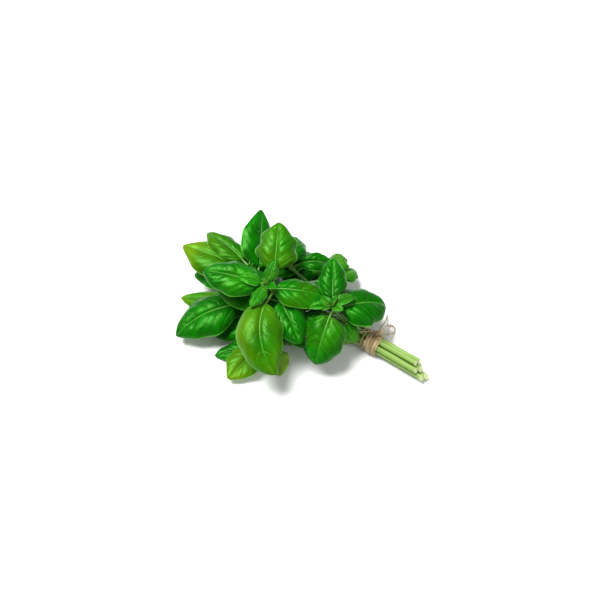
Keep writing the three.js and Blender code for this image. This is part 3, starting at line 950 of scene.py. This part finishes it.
# %% Tip leaves
def bent_leaf(foot, forward, up, length, width, droop, fold=0.6, cup=0.4):
    """Shapes a small leaf at a foot. It gives what read_leaf gives."""
    side = np.cross(up, forward)
    stations = np.array([0.03, 0.13, 0.28, 0.46, 0.64, 0.8, 0.93])
    turns = droop * stations / 2
    line = forward * np.cos(turns)[:, None] - up * np.sin(turns)[:, None]
    middles = foot + line * (stations * length)[:, None]
    tip = foot + length * (forward * math.cos(droop / 2) - up * math.sin(droop / 2))
    rises = up * np.cos(2 * turns)[:, None] + forward * np.sin(2 * turns)[:, None]
    halves = []
    for sign in (-1, 1):
        rows = []
        for v in (0.5, 1):
            slope = fold - (fold + cup) * v
            out = v - slope**2 * v / 6
            height = fold * v - (fold + cup) * v**2 / 2
            half = (width / 2 * outline(stations))[:, None]
            rows.append(half * (sign * out * side + height * rises))
        halves.append(np.stack(rows, axis=1))
    stalk = np.array([foot - forward * 1.2 * MM, foot - forward * 0.5 * MM])
    return stalk, 0.35 * MM, foot, tip, middles, *halves


# The length and width in mm, rise in degrees, droop and heading of each pair, from the lowest up.
TIP_PAIRS = (
    (13, 8, 28, 0.9, 0),
    (10.5, 6.5, 45, 0.8, 90),
    (7.5, 4.5, 58, 0.5, 40),
    (5, 3, 74, 0.3, 130),
)


def growing_tip(name, end, direction, size, seed):
    """A rosette of leaf pairs round the end of a stem."""
    dice = random.Random(seed)
    first = np.cross(direction, (0.2, 0.9, 0.1))
    first /= np.linalg.norm(first)
    second = np.cross(direction, first)
    leaves = []
    for level, (length, width, rise, droop, heading) in enumerate(TIP_PAIRS):
        for half_turn in (0, 180):
            angle = math.radians(heading + half_turn + dice.uniform(-14, 14))
            lift = math.radians(rise + dice.uniform(-8, 8))
            outward = first * math.cos(angle) + second * math.sin(angle)
            forward = outward * math.cos(lift) + direction * math.sin(lift)
            up = direction * math.cos(lift) - outward * math.sin(lift)
            foot = end + direction * (level - 1.2) * 0.5 * MM + outward * (1.1 - 0.22 * level) * MM
            scale = size * dice.uniform(0.88, 1.12) * MM
            leaf = bent_leaf(foot, forward, up, length * scale, width * scale, droop)
            tone = even_tone(0.02 + 0.04 * level)
            number = seed * 10 + len(leaves)
            leaves.append(make_leaf(f"{name}_{number}", leaf, tone, number, YOUNG_TOP, 20, 14))
    rosette = join_into(*leaves)
    rosette.name = rosette.data.name = name
    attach(rosette, "root")


TIP_SIZE = {"stem_crown": 1.0, "stem_short": 0.85}
for index, node in enumerate(STEM_NODES):
    line = stem_lines[node]
    direction = line[-1] - line[-6]
    direction /= np.linalg.norm(direction)
    name = node.replace("stem_", "basil_tip_")
    growing_tip(name, line[-1], direction, TIP_SIZE.get(node, 0.75), 30 + index)
print(f"{len(STEM_NODES)} growing tips")

# %% Inner leaves
INNER_LEAVES = {
    "basil_inner_leaf_1": ((-29.7, -11.0, 20.2), 48, 35, 34, 19),
    "basil_inner_leaf_2": ((-30.6, 14.0, 18.9), 120, -15, 28, 16),
}
for index, (name, (foot, heading, pitch, length, width)) in enumerate(INNER_LEAVES.items()):
    turn, rise = math.radians(heading), math.radians(pitch)
    plan = np.array([math.cos(turn), math.sin(turn), 0])
    forward = plan * math.cos(rise) + np.array([0, 0, math.sin(rise)])
    up = np.array([0, 0, math.cos(rise)]) - plan * math.sin(rise)
    leaf = bent_leaf(np.array(foot) * MM, forward, up, length * MM, width * MM, 0.5)
    leaf[0][0] -= forward * 2.5 * MM
    piece = make_leaf(name, leaf, even_tone(0), 900 + index, LEAF_TOP, 44, 28)
    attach(piece, "root")
print(f"{len(INNER_LEAVES)} small leaves close the last gaps inside the bunch")

# %% [markdown]
# ## The surface and the light
#
# A plain white surface under a large soft light from the upper left, as a kitchen window gives,
# with a broad fill so that the gaps between the leaves stay green and don't turn black.

# %% Surface
bpy.ops.object.select_all(action="DESELECT")
bpy.ops.mesh.primitive_plane_add(size=6, location=(0, 0, -0.0002))
floor = bpy.context.object
floor.name = "pale_surface"
make = Nodes("pale surface")
paper = make.add("ShaderNodeBsdfPrincipled", {"Base Color": (0.86, 0.86, 0.86, 1), "Roughness": 0.7})
floor.data.materials.append(make.finish(paper.outputs[0]))


def soft_light(name, right, up, back, size, power):
    light = bpy.data.lights.new(name, "AREA")
    light.shape = "DISK"
    light.size = size
    light.energy = power
    lamp = bpy.data.objects.new(name, light)
    bpy.context.scene.collection.objects.link(lamp)
    lamp.location = seen_at(right, up, back)
    aim = seen_at(-0.06, 0.03, 0) - lamp.location
    lamp.rotation_mode = "QUATERNION"
    lamp.rotation_quaternion = aim.to_track_quat("-Z", "Y")
    return lamp


soft_light("window", -0.5, 0.8, 0.8, 0.8, 36)
soft_light("fill", 0.7, -0.1, 0.9, 0.9, 5)
world = bpy.data.worlds.new("soft room")
bpy.context.scene.world = world
world.use_nodes = True
room = world.node_tree
backdrop = room.nodes["Background"]
backdrop.inputs["Color"].default_value = (1, 1, 1, 1)
rays = room.nodes.new("ShaderNodeLightPath")
brightness = room.nodes.new("ShaderNodeMapRange")
brightness.inputs["To Min"].default_value = 0.3
brightness.inputs["To Max"].default_value = 0.95
room.links.new(rays.outputs["Is Camera Ray"], brightness.inputs["Value"])
room.links.new(brightness.outputs["Result"], backdrop.inputs["Strength"])
bpy.context.scene.view_settings.view_transform = "Standard"
print("the light is set")
